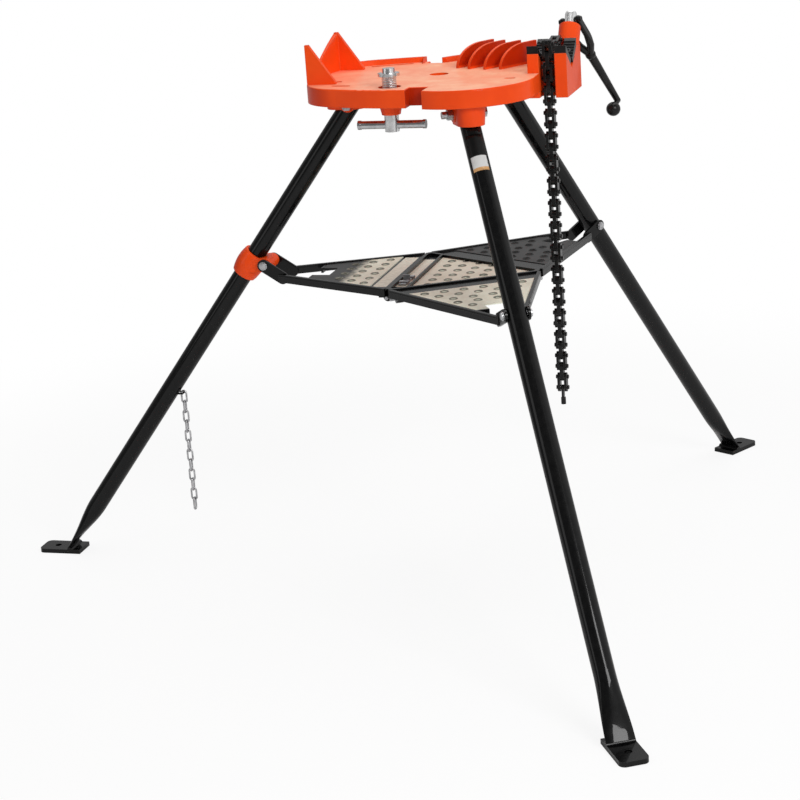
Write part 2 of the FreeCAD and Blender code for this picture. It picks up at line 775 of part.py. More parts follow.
def oval(width, thickness, centre, along):
    """Closed oval wire, its long axis across the leg."""
    curve = Part.Ellipse(V(0, 0, 0), width / 2, thickness / 2)
    wire = Part.Wire(curve.toShape())
    wire.rotate(V(0, 0, 0), V(0, 0, 1), 90)
    tilt = math.degrees(math.atan2(along.x, along.z))
    wire.rotate(V(0, 0, 0), V(0, 1, 0), tilt)
    wire.translate(centre)
    return wire


def leg_tube(pin_at):
    """One leg in its own frame: open tube above, pressed flat and bent to a foot pad below."""
    up = V(-leg_sin, 0, leg_cos)
    down = V(leg_sin, 0, -leg_cos)
    top = leg_axis_point(pivot_z) + up * tube_over_pivot
    bend_z = flat_thickness / 2 + 6.0
    bend = leg_axis_point(bend_z)
    neck = bend + up * flat_length
    length = (top - neck).Length
    tube = cylinder(leg_tube_r, length, neck, up)
    steps = 5
    wires = []
    for i in range(steps):
        s = i / (steps - 1)
        ease = s * s * (3 - 2 * s)
        width = 2 * leg_tube_r + (flat_width - 2 * leg_tube_r) * ease
        thick = 2 * leg_tube_r + (flat_thickness - 2 * leg_tube_r) * ease
        wires.append(oval(width, thick, neck + down * (flat_length * s), down))
    pressed = Part.makeLoft(wires, True)
    half = flat_width / 2
    pad_end = bend.x + pad_length
    corner = pad_corner_r
    pad = block(bend.x - pad_inner, pad_end - corner, -half, half, 0, flat_thickness)
    tip = block(pad_end - corner - 1.0, pad_end, corner - half, half - corner, 0, flat_thickness)
    corners = [cylinder(corner, flat_thickness, V(pad_end - corner, s * (half - corner), 0))
               for s in (-1, 1)]
    knuckle_r = flat_thickness / 2 + 2.0
    knuckle = cylinder(knuckle_r, flat_width, V(bend.x - flat_thickness / 2, -half, knuckle_r), V(0, 1, 0))
    body = tube.fuse([pressed, pad, tip, knuckle] + corners)
    hollow = cylinder(leg_tube_r - leg_tube_wall, length + 2.0, neck + up * 2.0, up)
    across = V(0, 1, 0)
    pivot_hole = cylinder(pivot_bolt_r + pivot_clearance, 60.0, V(pivot_r, -30.0, pivot_z), across)
    foot_hole = cylinder(foot_hole_r, 30.0, V(foot_hole_radius, 0, -10.0))
    under_floor = block(bend.x - flat_length, pad_end, -flat_width, flat_width, -flat_width, 0)
    cuts = [hollow, pivot_hole, foot_hole, under_floor]
    if pin_at:
        cuts.append(cylinder(pin_r + 0.02, 60.0, V(pin_at.x, -30.0, pin_at.z), across))
    return body.cut(cuts)


def pivot_bolt(azimuth):
    w = socket_half_width
    shank = cylinder(pivot_bolt_r, 2 * w + 22.0, V(pivot_r, -w - 18.0, pivot_z), V(0, 1, 0))
    head = hexagon_y(bolt_head_r, bolt_head_height, V(pivot_r, w + 0.1, pivot_z))
    return turned(joined([shank, head]), azimuth)


def pivot_nut(azimuth):
    w = socket_half_width
    height = bolt_head_height + 2.0
    nut = hexagon_y(bolt_head_r, height, V(pivot_r, -w - 0.1 - height, pivot_z))
    bore = cylinder(pivot_bolt_r + 0.02, 40.0, V(pivot_r, -w - 30.0, pivot_z), V(0, 1, 0))
    return turned(nut.cut(bore), azimuth)


def leg_pin():
    """Sleeve through a front leg, level with the tube's sides."""
    half = leg_tube_r + fork_gap / 2
    return cylinder(pin_r, 2 * half, V(front_pin_r, -half, tray_pin_z), V(0, 1, 0))


# ---- collar --------------------------------------------------------------------------------
def leg_collar():
    """Cast clamp collar with a lug for the tray's pin, in the leg's own frame."""
    centre = leg_axis_point(collar_z)
    up = V(-leg_sin, 0, leg_cos)
    half = collar_length / 2
    arc = Part.Arc(V(collar_end_r, 0, -half), V(collar_mid_r, 0, 0), V(collar_end_r, 0, half)).toShape()
    profile = Part.Wire([
        Part.LineSegment(V(0, 0, -half), V(collar_end_r, 0, -half)).toShape(),
        arc,
        Part.LineSegment(V(collar_end_r, 0, half), V(0, 0, half)).toShape(),
        Part.LineSegment(V(0, 0, half), V(0, 0, -half)).toShape(),
    ])
    barrel = Part.Face(profile).revolve(V(0, 0, 0), V(0, 0, 1), 360)
    tilt = -math.degrees(math.atan(leg_slope))
    barrel.rotate(V(0, 0, 0), V(0, 1, 0), tilt)
    barrel.translate(centre)
    width = collar_mid_r - 1.5
    root = V(centre.x - 10.0, -width, centre.z - 1.0)
    lug = stadium(root, V(rear_pin_x, -width, rear_pin_z), lug_r, V(0, 2 * width, 0))
    body = joined([barrel, lug])
    bore = cylinder(leg_tube_r + collar_gap, 4 * collar_length, centre - up * 2 * collar_length, up)
    hole = cylinder(pin_r + 0.02, 4 * width, V(rear_pin_x, -2 * width, rear_pin_z), V(0, 1, 0))
    return body.cut(bore).cut(hole)


def collar_pin():
    half = collar_mid_r - 0.1
    return cylinder(pin_r, 2 * half, V(rear_pin_x, -half, rear_pin_z), V(0, 1, 0))


# ---- tray ----------------------------------------------------------------------------------
class Wing:
    """Plan of one wing in its leg's own frame."""

    def __init__(self, fork_x, fork_z, inner_face, line_r):
        self.pin_x = fork_x
        self.pin_height = fork_z
        self.inner_face = inner_face
        self.line_r = line_r
        self.start = line_r + hinge_gap
        self.end = fork_x - fork_length + 8.0
        self.tip_half = inner_face + fork_wall / 2
        self.room_start = fork_x - web_setback - tube_notch

    def half(self, x):
        """Distance from the middle line to the middle of the rail."""
        slope = (tray_half - self.tip_half) / (self.end - self.start)
        return tray_half - slope * (x - self.start)

    def slab(self, x0, x1, inset, z0, z1):
        """Piece of the wing's plan between two distances, pulled in from the rails."""
        near = self.half(x0) - inset
        far = self.half(x1) - inset
        return prism_z([(x0, -near), (x1, -far), (x1, far), (x0, near)], z0, z1)


wings = {
    "rear": Wing(rear_pin_x, rear_pin_z, collar_mid_r + fork_gap, rear_hinge_r),
    "front_right": Wing(front_pin_r, tray_pin_z, leg_tube_r + fork_gap, hinge_radius),
    "front_left": Wing(front_pin_r, tray_pin_z, leg_tube_r + fork_gap, hinge_radius),
}


def wing_rail(wing, side):
    a = V(wing.start, side * tray_half, 0)
    b = V(wing.end, side * wing.tip_half, 0)
    run = (b - a).normalize()
    off = V(-run.y, run.x, 0) * (rail_width / 2)
    rail = prism_z([(p.x, p.y) for p in (a + off, b + off, b - off, a - off)], tray_bottom, tray_top)
    return rail.common(block(wing.start, wing.end, -tray_reach, tray_reach, tray_bottom, tray_top))


def wing_fork(wing, side):
    root = V(wing.pin_x - fork_length, side * wing.inner_face, tray_top - rail_height / 2)
    tip = V(wing.pin_x, side * wing.inner_face, wing.pin_height)
    arm = stadium(root, tip, fork_end, V(0, side * fork_wall, 0))
    return arm.cut(cylinder(pin_r + 0.02, 120.0, V(tip.x, -60.0, tip.z), V(0, 1, 0)))


def wing_frame(wing):
    """Rails, hinge strip, cross web, fork and hinge eyes of one wing."""
    parts = [wing_rail(wing, side) for side in (-1, 1)]
    parts += [wing_fork(wing, side) for side in (-1, 1)]
    strip_end = wing.start + strip_width
    parts.append(wing.slab(wing.start, strip_end, 0, tray_top - 5.0, tray_top - 3.0))
    parts.append(wing.slab(wing.start, wing.start + 3.0, 0, tray_bottom, tray_top - 3.0))
    web = wing.pin_x - web_setback
    parts.append(wing.slab(web, web + 4.0, 0, tray_bottom + 3.0, tray_top - 2.0))
    clear = []
    for side in (-1, 1):
        y = side * (tray_half - 2 * eye_width)
        parts.append(hinge_eye(wing.line_r, y, 1))
        clear.append(eye_clearance(wing.line_r, side * (tray_half - 3 * eye_width - eye_gap)))
    clear.append(tube_room(wing))
    return joined(parts).cut(clear)


def tube_room(wing):
    """Open middle of the web and of the panel's end, which the leg swings through."""
    half = wing.inner_face
    return block(wing.room_start, wing.pin_x, -half, half, tray_bottom - 1.0, tray_top + 1.0)


def wing_panel(wing):
    """Sheet panel between the rails with rows of drain holes."""
    x0 = wing.start + strip_width + 1.0
    x1 = wing.pin_x - web_setback - 0.5
    inset = rail_width / 2 + 1.6
    bottom = tray_top - 4.0
    sheet = wing.slab(x0, x1, inset, bottom, bottom + panel_thickness)
    edge = hole_d / 2 + hole_edge

    def solid_there(x, y):
        return x + edge < wing.room_start or abs(y) > wing.inner_face + edge

    holes = panel_holes(x0, x1, lambda x: wing.half(x) - inset, solid_there)
    return sheet.cut(holes).cut(tube_room(wing))


def hinge_eye(line_r, y, toward):
    """Knuckle hanging under the frame; toward is 1 for the wing's side and -1 for the middle's."""
    y0 = y - eye_width / 2
    eye = cylinder(eye_r, eye_width, V(line_r, y0, hinge_z), V(0, 1, 0))
    arm_end = line_r + toward * eye_arm
    arm = block(min(line_r, arm_end), max(line_r, arm_end), y0, y0 + eye_width, hinge_z - 1.0,
                tray_bottom + 3.0)
    bore = cylinder(hinge_pin_r + hinge_pin_clearance, 40.0, V(line_r, y - 20.0, hinge_z), V(0, 1, 0))
    return eye.fuse(arm).cut(bore)


def eye_clearance(line_r, y):
    """Room in one frame for an eye of the other."""
    width = eye_width + 2 * eye_gap
    return cylinder(eye_r + 1.0, width, V(line_r, y - width / 2, hinge_z), V(0, 1, 0))


def hinge_line(azimuth):
    return rear_hinge_r if azimuth == 180.0 else hinge_radius


def panel_holes(x0, x1, half, solid_there=lambda x, y: True):
    """Rows of drain holes between x0 and x1, wherever the sheet is there to take one."""
    holes = []
    x = x0 + hole_margin + hole_d / 2
    while x < x1 - hole_margin:
        reach = half(x) - hole_margin - hole_d / 2
        count = int(2 * reach // hole_pitch) + 1 if reach > 0 else 0
        for i in range(count):
            y = (i - (count - 1) / 2) * hole_pitch
            if solid_there(x, y):
                holes.append(cylinder(hole_d / 2, 2 * rail_height, V(x, y, tray_bottom)))
        x += hole_pitch * 0.8
    return holes


def fork_rivets(wing):
    rivets = []
    half_head = rivet_head_height / 2
    for side in (-1, 1):
        out = V(0, side, 0)
        face = wing.inner_face + fork_wall + 0.1

        def at(y):
            return V(wing.pin_x, side * y, wing.pin_height)

        start = wing.inner_face - fork_gap / 2 + 0.1
        shank = cylinder(pin_r, face - start + 0.1, at(start), out)
        head = cylinder(rivet_head_r, half_head, at(face), out)
        cap = cylinder(rivet_head_r - 1.5, half_head, at(face + half_head), out)
        rivets.append(joined([shank, head, cap]))
    return Part.makeCompound(rivets)


def center_frame():
    """Frame of the tray's middle: rails, the rear latch strip and the hinge eyes."""
    z0 = tray_bottom
    rim = prism_z(center_boundary(0), z0, tray_top)
    rim = rim.cut(prism_z(center_boundary(rail_width), z0 - 1, tray_top + 1))
    ledge = prism_z(center_boundary(rail_width - 1.0), z0 + 5.0, z0 + 7.0)
    ledge = ledge.cut(prism_z(center_boundary(rail_width + 8.0), z0, tray_top))
    bar_x = rear_inner_line
    bar = block(-bar_x - 4.0, -bar_x, -tray_half, tray_half, z0 + 2.0, tray_top)
    strip = block(-rear_hinge_r + 2.0, -bar_x, -tray_half, tray_half, tray_top - 7.0, tray_top - 5.0)
    inside = prism_z(center_boundary(1.0), z0, tray_top)
    parts = [rim, ledge, bar.common(inside), strip.common(inside)]
    clear = []
    for azimuth in leg_azimuth.values():
        line_r = hinge_line(azimuth)
        for side in (-1, 1):
            own = side * (tray_half - 3 * eye_width - eye_gap)
            parts.append(turned(hinge_eye(line_r, own, -1), azimuth))
            other = side * (tray_half - 2 * eye_width)
            clear.append(turned(eye_clearance(line_r, other), azimuth))
    return joined(parts).cut(clear)


def center_boundary(inset):
    """Hexagon of the middle part: three hinge sides and three short sides at the star's corners."""
    points = []
    for azimuth in (60.0, 180.0, -60.0):
        line_r = hinge_line(azimuth) - hinge_gap - inset
        u = V(math.cos(math.radians(azimuth)), math.sin(math.radians(azimuth)), 0)
        t = V(-u.y, u.x, 0)
        for side in (-1, 1):
            p = u * line_r + t * (side * (tray_half - inset))
            points.append((p.x, p.y))
    return points


def center_panel():
    z = tray_bottom + 7.1
    sheet = prism_z(center_boundary(rail_width + 0.6), z, z + panel_thickness)
    sheet = sheet.cut(block(-tray_reach, -rear_inner_line + 0.5, -tray_reach, tray_reach, z - 5, z + 10))

    def half(x):
        return tray_half - 25.0 - 0.55 * max(0.0, x)

    return sheet.cut(panel_holes(-rear_inner_line + 8.0, hinge_radius + 25.0, half))


def hinge_pin(azimuth):
    outer = tray_half + 1.0
    inner = tray_half - 4 * eye_width - 2 * eye_gap
    pins = []
    for side in (-1, 1):
        base = V(hinge_line(azimuth), min(side * inner, side * outer), hinge_z)
        pins.append(turned(cylinder(hinge_pin_r, outer - inner, base, V(0, 1, 0)), azimuth))
    return pins


# ---- tray latch ----------------------------------------------------------------------------
def latch_bolt():
    x = -(rear_hinge_r + rear_inner_line) / 2
    z = tray_top - 5.0 + latch_gap
    half = latch_width / 2
    plate = block(x - half, x + half, latch_y - latch_length / 2, latch_y + latch_length / 2,
                  z, z + latch_thickness)
    tab = block(x - half, x + half, latch_y - 1.5, latch_y + 1.5, z, z + latch_tab_height)
    return joined([plate, tab])


def latch_staples():
    """Two staples that hold the latch bolt down on the strip."""
    x = -(rear_hinge_r + rear_inner_line) / 2
    z = tray_top - 5.0
    half = latch_width / 2 + latch_gap
    roof = z + latch_thickness + 2 * latch_gap
    staples = []
    for y in (latch_y - staple_spread, latch_y + staple_spread):
        outer = block(x - half - 2.0, x + half + 2.0, y - 4.0, y + 4.0, z, roof + 2.0)
        staples.append(outer.cut(block(x - half, x + half, y - 5.0, y + 5.0, z - 1.0, roof)))
    return Part.makeCompound(staples)


# ---- vise chain ----------------------------------------------------------------------------
def link_plate(p0, p1, radius, x0, x1):
    """Round-ended plate between two pins given as (y, z)."""
    return stadium(V(x0, *p0), V(x0, *p1), radius, V(x1 - x0, 0, 0))


def outer_link(p0, p1):
    """Pair of side plates riveted on two long pins."""
    plates = [
        link_plate(p0, p1, chain_plate_r, chain_x + chain_plate_inner, chain_x + chain_plate_outer),
        link_plate(p0, p1, chain_plate_r, chain_x - chain_plate_outer, chain_x - chain_plate_inner),
    ]
    pins = [cylinder(chain_pin_r, 2 * chain_pin_half, V(chain_x - chain_pin_half, p[0], p[1]), V(1, 0, 0))
            for p in (p0, p1)]
    return joined(plates + pins)


def inner_link(p0, p1):
    """Core plate between the pins of its two neighbours."""
    core = link_plate(p0, p1, chain_core_r, chain_x - chain_core_half, chain_x + chain_core_half)
    holes = [cylinder(chain_pin_r + chain_pin_clearance, 30.0, V(chain_x - 15.0, p[0], p[1]), V(1, 0, 0))
             for p in (p0, p1)]
    return core.cut(holes)


def chain_links(points, first_is_outer):
    outer = []
    inner = []
    for i in range(len(points) - 1):
        is_outer = (i % 2 == 0) == first_is_outer
        if is_outer:
            outer.append(outer_link(points[i], points[i + 1]))
        else:
            inner.append(inner_link(points[i], points[i + 1]))
    return Part.makeCompound(outer), Part.makeCompound(inner)


def save_chain():
    outer, inner = chain_links(span_path, True)
    save("chain_span_plates", outer)
    save("chain_span_cores", inner)
    y, z = span_path[-1]
    index = len(span_pins) - 1
    for number, count in enumerate(hang_counts, 1):
        points = [(y, z - chain_pitch * i) for i in range(count + 1)]
        outer, inner = chain_links(points, index % 2 == 0)
        save("chain_hang_" + str(number) + "_plates", outer)
        save("chain_hang_" + str(number) + "_cores", inner)
        index += count
        y, z = points[-1]
    return y, z, index


def chain_tail(y, z, last_is_outer):
    """Plain end tag on the last pin."""
    tag = link_plate((y, z), (y, z - 14.0), 4.6, chain_x - 2.0, chain_x + 2.0)
    ball = cylinder(4.2, 12.0, V(chain_x, y, z - 30.0))
    body = joined([tag, ball])
    if last_is_outer:
        hole = cylinder(chain_pin_r + chain_pin_clearance, 30.0, V(chain_x - 15.0, y, z), V(1, 0, 0))
        body = body.cut(hole)
    return body


# ---- small chain ---------------------------------------------------------------------------
def ring_link(centre, quarter_turn):
    """Oval wire link standing upright."""
    half = (tie_link_length - tie_link_width) / 2
    r = tie_link_width / 2 - tie_wire_r
    sides = [cylinder(tie_wire_r, 2 * half, V(s * r, 0, -half)) for s in (-1, 1)]
    bends = []
    for s in (-1, 1):
        ring = Part.makeTorus(r, tie_wire_r, V(0, 0, s * half), V(0, 1, 0))
        z0 = half if s > 0 else -half - tie_link_width
        bends.append(ring.common(block(-20, 20, -20, 20, z0, z0 + tie_link_width)))
    body = joined(sides + bends)
    if quarter_turn:
        body = turned(body, 90)
    body.translate(centre)
    return body


def tie_chain():
    """Short welded chain hanging from the eye on the rear leg."""
    step = tie_link_length - 4 * tie_wire_r - tie_gap
    x = tie_eye_x()
    z = tie_eye_z + 3 * tie_wire_r + tie_gap - tie_link_length / 2
    links = []
    for i in range(tie_links):
        links.append(ring_link(V(x, 0, z - step * i), i % 2 == 1))
    return Part.makeCompound([turned(link, 180.0) for link in links])


def tie_eye_x():
    return leg_radius(tie_eye_z) - leg_tube_r / leg_cos - tie_eye_offset


def tie_eye():
    """Wire staple welded under the rear leg that carries the small chain."""
    x = tie_eye_x()
    bar = cylinder(tie_wire_r, 14.0, V(x, -7.0, tie_eye_z), V(0, 1, 0))
    legs = []
    for side in (-1, 1):
        start = V(x, side * 7.0, tie_eye_z)
        legs.append(Part.makeSphere(tie_wire_r, start))
        legs.append(cylinder(tie_wire_r, 2 * tie_eye_offset, start, V(1, 0, 0)))
    body = joined([bar] + legs)
    up = V(-leg_sin, 0, leg_cos)
    reach = 4 * tie_eye_offset
    tube = cylinder(leg_tube_r + 0.02, 2 * reach, leg_axis_point(tie_eye_z) - up * reach, up)
    return turned(body.cut(tube), 180.0)


# ---- writing the parts ---------------------------------------------------------------------
os.makedirs("parts", exist_ok=True)

save("base_casting", base_casting())
save("vise_jaw_near", Part.makeCompound([jaw(x0, -1) for x0 in (block_x0, slot_x1)]))
save("vise_jaw_far", Part.makeCompound([jaw(x0, 1) for x0 in (block_x0, slot_x1)]))
save("jaw_screws", Part.makeCompound([jaw_screw(x0, s) for x0 in (block_x0, slot_x1) for s in (-1, 1)]))
save("leg_pivot_bolts", Part.makeCompound([pivot_bolt(a) for a in leg_azimuth.values()]))
save("leg_pivot_nuts", Part.makeCompound([pivot_nut(a) for a in leg_azimuth.values()]))

save("vise_screw", vise_screw())
save("clamp_nut", clamp_nut())
save("crank_handle", crank_handle())
save("crank_knob", crank_knob())
save("crank_fork_pin", fork_pin())

save("brace_screw", brace_screw())
save("brace_cap", brace_cap())
save("brace_tbar", brace_tbar())

tail_y, tail_z, tail_index = save_chain()
save("chain_tail", chain_tail(tail_y, tail_z, tail_index % 2 == 1))

for leg, azimuth in leg_azimuth.items():
    wing = wings[leg]
    pin_at = None if leg == "rear" else leg_axis_point(tray_pin_z)
    save("leg_tube_" + leg, turned(leg_tube(pin_at), azimuth))
    save("wing_frame_" + leg, turned(wing_frame(wing), azimuth))
    save("wing_panel_" + leg, turned(wing_panel(wing), azimuth))
    save("fork_rivets_" + leg, turned(fork_rivets(wing), azimuth))
    if pin_at:
        save("leg_pin_" + leg, turned(leg_pin(), azimuth))

save("leg_collar", turned(leg_collar(), 180.0))
save("collar_pin", turned(collar_pin(), 180.0))
save("tie_chain_eye", tie_eye())
save("tie_chain", tie_chain())

save("tray_center_frame", center_frame())
save("tray_center_panel", center_panel())
save("tray_hinge_pins", Part.makeCompound([p for a in leg_azimuth.values() for p in hinge_pin(a)]))
save("tray_latch_bolt", latch_bolt())
save("tray_latch_staples", latch_staples())
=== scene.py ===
import math

import bmesh
import bpy
from mathutils import Matrix, Vector


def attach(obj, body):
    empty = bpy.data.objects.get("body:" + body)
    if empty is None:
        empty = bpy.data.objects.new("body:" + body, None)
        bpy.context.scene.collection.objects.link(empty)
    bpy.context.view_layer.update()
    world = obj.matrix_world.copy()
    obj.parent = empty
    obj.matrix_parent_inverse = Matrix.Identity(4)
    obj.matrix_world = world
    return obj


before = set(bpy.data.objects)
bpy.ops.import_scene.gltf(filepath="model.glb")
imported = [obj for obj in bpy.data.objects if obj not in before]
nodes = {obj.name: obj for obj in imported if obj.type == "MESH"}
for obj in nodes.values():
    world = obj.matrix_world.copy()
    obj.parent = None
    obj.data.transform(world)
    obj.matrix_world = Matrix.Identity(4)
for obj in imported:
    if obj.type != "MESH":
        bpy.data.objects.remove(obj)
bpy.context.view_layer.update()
print("frame loaded:", len(nodes), "nodes")


# ---- shader helpers

class Wire:
    # a node socket that takes part in sums
    def __init__(self, finish, socket):
        self.finish = finish
        self.socket = socket
        self.node = socket.node

    def sum(self, operation, first, second):
        return self.finish.make("ShaderNodeMath", {"operation": operation}, {0: first, 1: second})

    def __add__(self, other):
        return self.sum("ADD", self, other)

    def __radd__(self, other):
        return self.sum("ADD", other, self)

    def __sub__(self, other):
        return self.sum("SUBTRACT", self, other)

    def __rsub__(self, other):
        return self.sum("SUBTRACT", other, self)

    def __mul__(self, other):
        return self.sum("MULTIPLY", self, other)

    def __rmul__(self, other):
        return self.sum("MULTIPLY", other, self)

    def __pow__(self, other):
        return self.sum("POWER", self, other)


class Finish:
    def __init__(self, name):
        self.material = bpy.data.materials.new(name)
        self.material.use_nodes = True
        self.tree = self.material.node_tree
        self.tree.nodes.clear()

    def make(self, kind, settings=None, sockets=None, output=0):
        made = self.tree.nodes.new(kind)
        for key, value in (settings or {}).items():
            if key == "stops":
                for index, (place, tone) in enumerate(value):
                    ramp = made.color_ramp.elements
                    element = ramp[index] if index < len(ramp) else ramp.new(place)
                    element.position = place
                    element.color = (tone, tone, tone, 1)
            else:
                setattr(made, key, value)
        for key, value in (sockets or {}).items():
            if isinstance(value, Wire):
                self.tree.links.new(value.socket, made.inputs[key])
            else:
                made.inputs[key].default_value = value
        return Wire(self, made.outputs[output]) if made.outputs else made

    def place(self):
        return self.make("ShaderNodeTexCoord", output="Object")

    def stretch(self, scale, turn=(0, 0, 0)):
        return self.make("ShaderNodeMapping", None,
                         {"Vector": self.place(), "Scale": scale, "Rotation": turn})

    def noise(self, scale, detail=4.0, rough=0.55, at=None):
        sockets = {"Vector": at or self.place(), "Scale": scale, "Detail": detail, "Roughness": rough}
        return self.make("ShaderNodeTexNoise", {"noise_dimensions": "3D"}, sockets)

    def ramp(self, value, low, high):
        return self.make("ShaderNodeMapRange", {"interpolation_type": "SMOOTHSTEP"},
                         {"Value": value, "From Min": low, "From Max": high})

    def blend(self, factor, first, second):
        return self.make("ShaderNodeMix", {"data_type": "RGBA"}, {0: factor, 6: first, 7: second}, output=2)

    def rounded(self, radius):
        # the normal as if each sharp edge were eased
        return self.make("ShaderNodeBevel", {"samples": 4}, {"Radius": radius})

    def edges(self, soft, low, high):
        # 1 along the eased edges
        flat = self.make("ShaderNodeNewGeometry", output="True Normal")
        facing = self.make("ShaderNodeVectorMath", {"operation": "DOT_PRODUCT"}, {0: soft, 1: flat},
                           output="Value")
        return self.ramp(1 - facing, low, high)

    def parts(self, vector):
        split = self.make("ShaderNodeSeparateXYZ", None, {"Vector": vector}).node
        return [Wire(self, split.outputs[i]) for i in range(3)]

    def within(self, value, span, soft=0.0006):
        return self.ramp(value, span[0], span[0] + soft) * (1 - self.ramp(value, span[1] - soft, span[1]))

    def facing(self):
        return self.parts(self.make("ShaderNodeNewGeometry", output="Normal"))

    def bump(self, height, strength, distance, normal=None):
        sockets = {"Height": height, "Strength": strength, "Distance": distance}
        if normal:
            sockets["Normal"] = normal
        return self.make("ShaderNodeBump", None, sockets)

    def close(self, **sockets):
        named = {key.replace("_", " "): value for key, value in sockets.items()}
        shader = self.make("ShaderNodeBsdfPrincipled", None, named)
        self.make("ShaderNodeOutputMaterial", None, {"Surface": shader})
        return self.material


def tone(red, green, blue):
    return (red, green, blue, 1)


# ---- finishes

# bright, deep and worn are the enamel's own tones; the last two are painted light: a pale painted sheen for
# the plate top and a deep painted shade
enamelTones = {
    "bright": tone(0.93, 0.082, 0.008), "deep": tone(0.74, 0.045, 0.004), "worn": tone(0.95, 0.27, 0.12),
    "paintedTopSheen": tone(1.0, 0.52, 0.33), "shade": tone(0.42, 0.014, 0.001),
}
# z band, strength and x ramp of the painted sheen on the plate top, which stands for the reflection of the
# bright surroundings
enamelTop = {"low": 0.8855, "high": 0.8885, "strength": 0.85, "fade": (-0.26, 0.02), "least": 0.55}
# inner faces of the skirt notch, darkened with painted shade
notchShade = {"x": (-0.0146, 0.0176), "y": (-0.175, -0.1414), "z": (0.8858, 0.8866), "strength": 0.8}
# where painted shade falls between the fins
finShade = {"x": (-0.01, 0.155), "y": (0.02, 0.155), "z": (0.8885, 0.893), "strength": 0.8}


def castEnamel(name="castEnamel", ease=0.0022):
    f = Finish(name)
    soft = f.rounded(ease)
    edge = f.edges(soft, 0.03, 0.3)
    clouds = f.ramp(f.noise(9, 3), 0.35, 0.7)
    grains = f.noise(420, 5, 0.7)
    colour = f.blend(clouds * 0.45, enamelTones["bright"], enamelTones["deep"])
    colour = f.blend(edge * 0.35, colour, enamelTones["worn"])
    facing = f.facing()
    # painted shade: faces turned towards -x, away from the key lamp, darkened
    colour = f.blend(f.ramp(0 - facing[0], 0.1, 0.9) * 0.6, colour, enamelTones["shade"])
    x, y, z = f.parts(f.place())
    # painted shade on the fin faces turned to +x, where the fins shade each other; their edges stay lighter
    between = f.within(x, finShade["x"], 0.005) * f.within(y, finShade["y"], 0.005)
    between = between * f.ramp(z, *finShade["z"]) * f.ramp(facing[0], 0.3, 0.8)
    colour = f.blend(between * (1 - edge) * finShade["strength"], colour, enamelTones["shade"])
    # painted shade inside the notch in the skirt
    notch = f.within(x, notchShade["x"]) * f.within(y, notchShade["y"]) * (1 - f.ramp(z, *notchShade["z"]))
    colour = f.blend(notch * notchShade["strength"], colour, enamelTones["shade"])
    # painted sheen: upward faces of the plate top lightened towards pale peach in patches, for the
    # reflection of the bright surroundings; strongest towards +x, and rougher there
    blotches = 0.7 + f.ramp(f.noise(22, 6, 0.7), 0.3, 0.75) * 0.5
    paintedTopSheen = f.within(z, (enamelTop["low"], enamelTop["high"])) * f.ramp(facing[2], 0.8, 0.98) * blotches
    paintedTopSheen = paintedTopSheen * (enamelTop["least"] + f.ramp(x, *enamelTop["fade"]) * (1 - enamelTop["least"]))
    colour = f.blend(paintedTopSheen * enamelTop["strength"], colour, enamelTones["paintedTopSheen"])
    normal = f.bump(grains, 0.22, 0.0004, soft)
    normal = f.bump(f.noise(55, 2), 0.25, 0.0012, normal)
    return f.close(Base_Color=colour, Roughness=0.3 + grains * 0.14 + paintedTopSheen * 0.2, Coat_Weight=0.13,
                   Coat_Roughness=0.08, Specular_IOR_Level=0.1, Normal=normal)


def blackEnamel(name="blackEnamel", ease=0.0012, patch=None):
    f = Finish(name)
    soft = f.rounded(ease)
    edge = f.edges(soft, 0.05, 0.4)
    streaks = f.noise(26, 5, 0.6, f.stretch((6, 6, 1)))
    peel = f.noise(300, 3, 0.5)
    scuffs = f.ramp(f.noise(160, 8, 0.75), 0.62, 0.74)
    colour = f.blend(f.ramp(streaks, 0.3, 0.8), tone(0.0018, 0.0018, 0.002), tone(0.005, 0.005, 0.005))
    colour = f.blend(edge * 0.12 + scuffs * 0.04, colour, tone(0.2, 0.19, 0.18))
    if patch:
        x, y, z = f.parts(f.place())
        inside = f.within(x, patch["x"]) * f.within(y, (-patch["half"], patch["half"]))
        pale = inside * f.ramp(z, patch["from"], patch["from"] + 0.0005) * f.ramp(f.facing()[2], 0.9, 0.98)
        scuffed = f.blend(f.ramp(scuffs, 0.1, 0.9) * 0.4, patch["tone"], tone(0.3, 0.3, 0.24))
        colour = f.blend(pale, colour, scuffed)
    normal = f.bump(peel, 0.12, 0.0003, soft)
    return f.close(Base_Color=colour, Roughness=0.2 + streaks * 0.14, Specular_IOR_Level=0.05,
                   Coat_Weight=0.38, Coat_Roughness=0.045, Normal=normal)


def sheetCoat(name, light, dark, gloss, specular=0.3, shadow=None):
    f = Finish(name)
    soft = f.rounded(0.0006)
    mottle = f.noise(34, 5, 0.6)
    rolled = f.noise(40, 4, 0.5, f.stretch((1, 14, 1)))
    speck = f.ramp(f.noise(500, 4, 0.7), 0.62, 0.75)
    colour = f.blend(f.ramp(mottle, 0.3, 0.75), light, dark)
    colour = f.blend(speck * 0.2, colour, dark)
    if shadow:
        reach = f.parts(f.place())[0] + f.noise(90, 5, 0.7) * shadow["ragged"]
        colour = f.blend(1 - f.ramp(reach, *shadow["from"]), colour, shadow["tone"])
    normal = f.bump(rolled, 0.2, 0.0005, soft)
    return f.close(Base_Color=colour, Roughness=gloss + mottle * 0.2, Coat_Weight=0.08,
                   Specular_IOR_Level=specular, Normal=normal)


